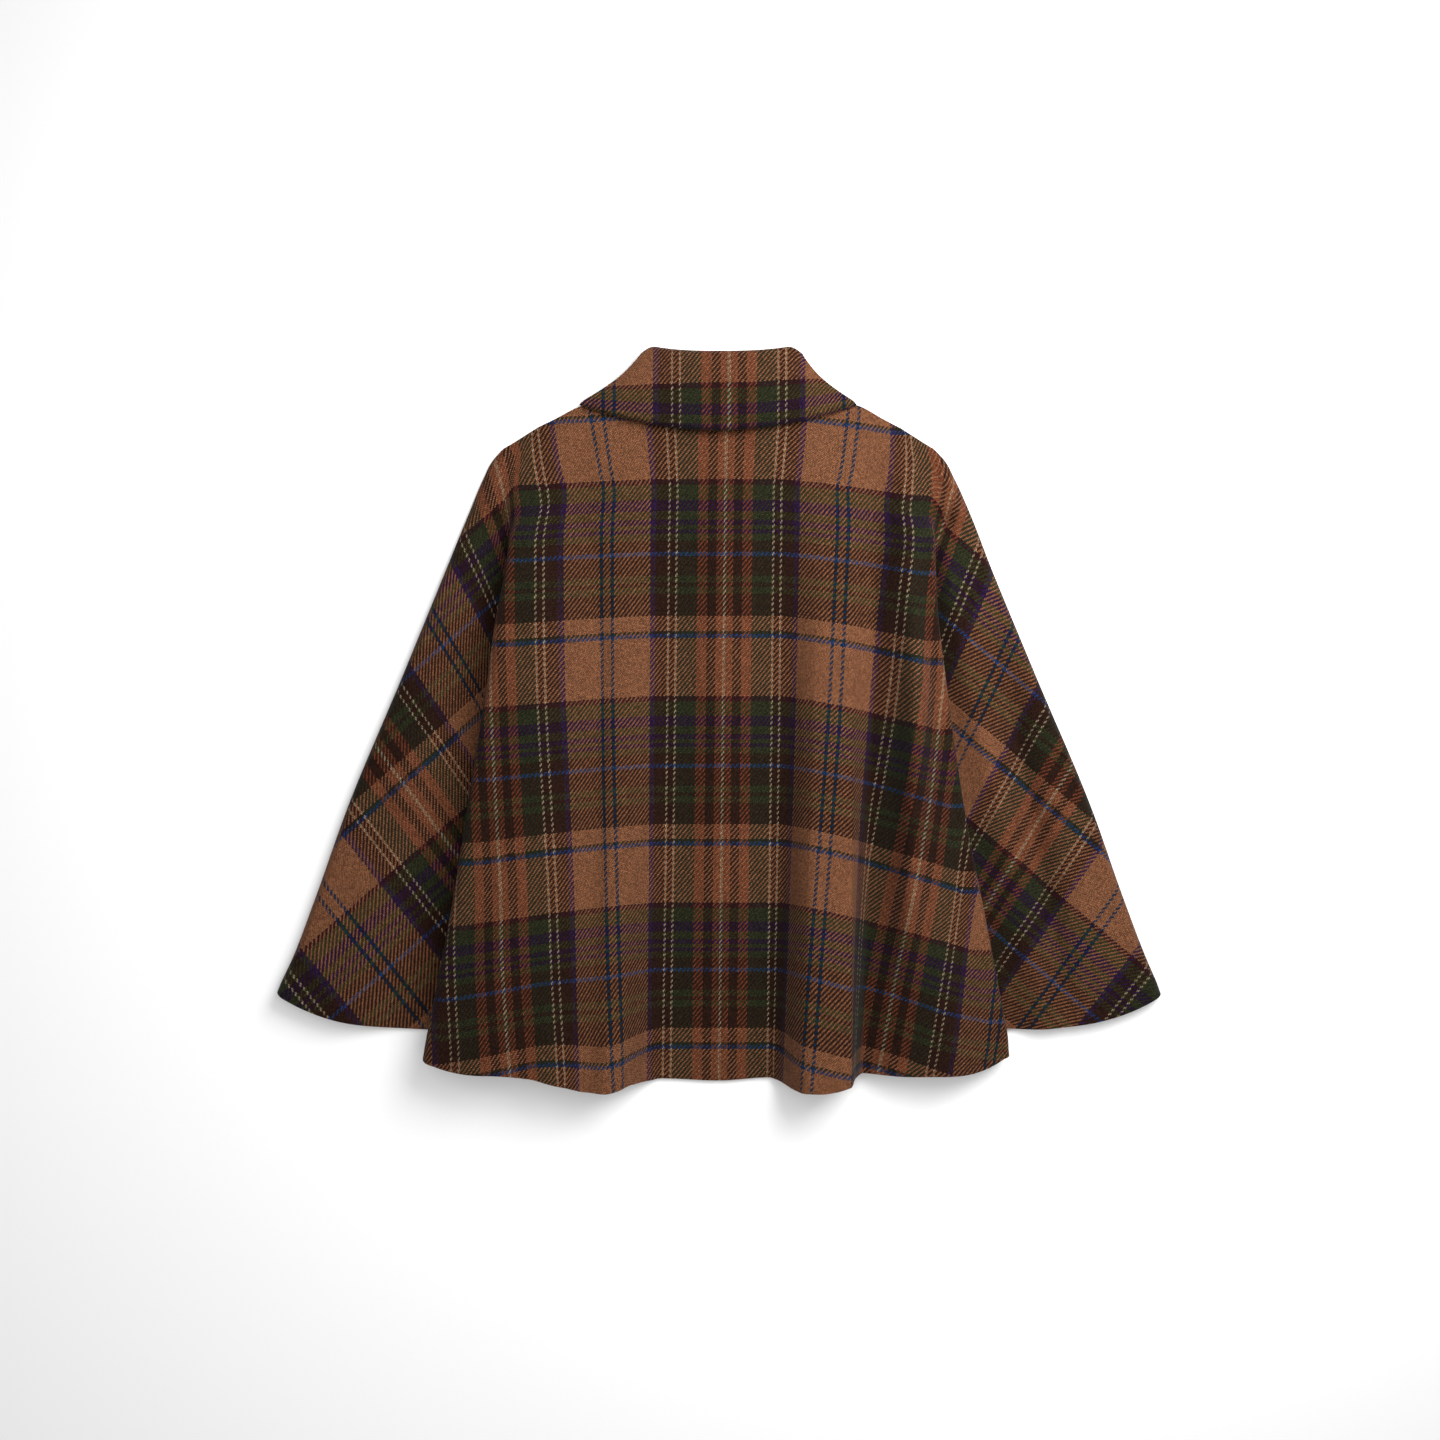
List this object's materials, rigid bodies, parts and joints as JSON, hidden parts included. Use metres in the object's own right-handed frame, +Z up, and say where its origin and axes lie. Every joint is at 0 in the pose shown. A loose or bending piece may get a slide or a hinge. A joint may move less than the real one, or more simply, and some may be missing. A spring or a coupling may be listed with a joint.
{
  "type": "wool cape laid flat",
  "caption": "Short flared cape in checked wool with a turn-down collar, laid flat with its back up: the body laps over side wings in Z-folds and the hem stands in soft flutes.",
  "frame": {"origin": "on the resting surface, under the middle of the cape's outline", "axes": "+X across the back from the wearer's left to the wearer's right, +Y from hem to collar, +Z up from the surface, out of the back"},
  "size_m": [0.8836, 0.7377, 0.0643],
  "materials": {
    "checked_wool_back": "soft napped wool twill in a brown check",
    "checked_wool_front": "soft napped wool twill in a brown check",
    "checked_wool_collar": "soft napped wool twill in a brown check"
  },
  "bodies": {
    "root": {"back_left": "checked_wool_back", "back_right": "checked_wool_back", "front_left": "checked_wool_front", "front_right": "checked_wool_front", "collar": "checked_wool_collar", "collar_front_left": "checked_wool_collar", "collar_front_right": "checked_wool_collar"}
  },
  "joints": []
}
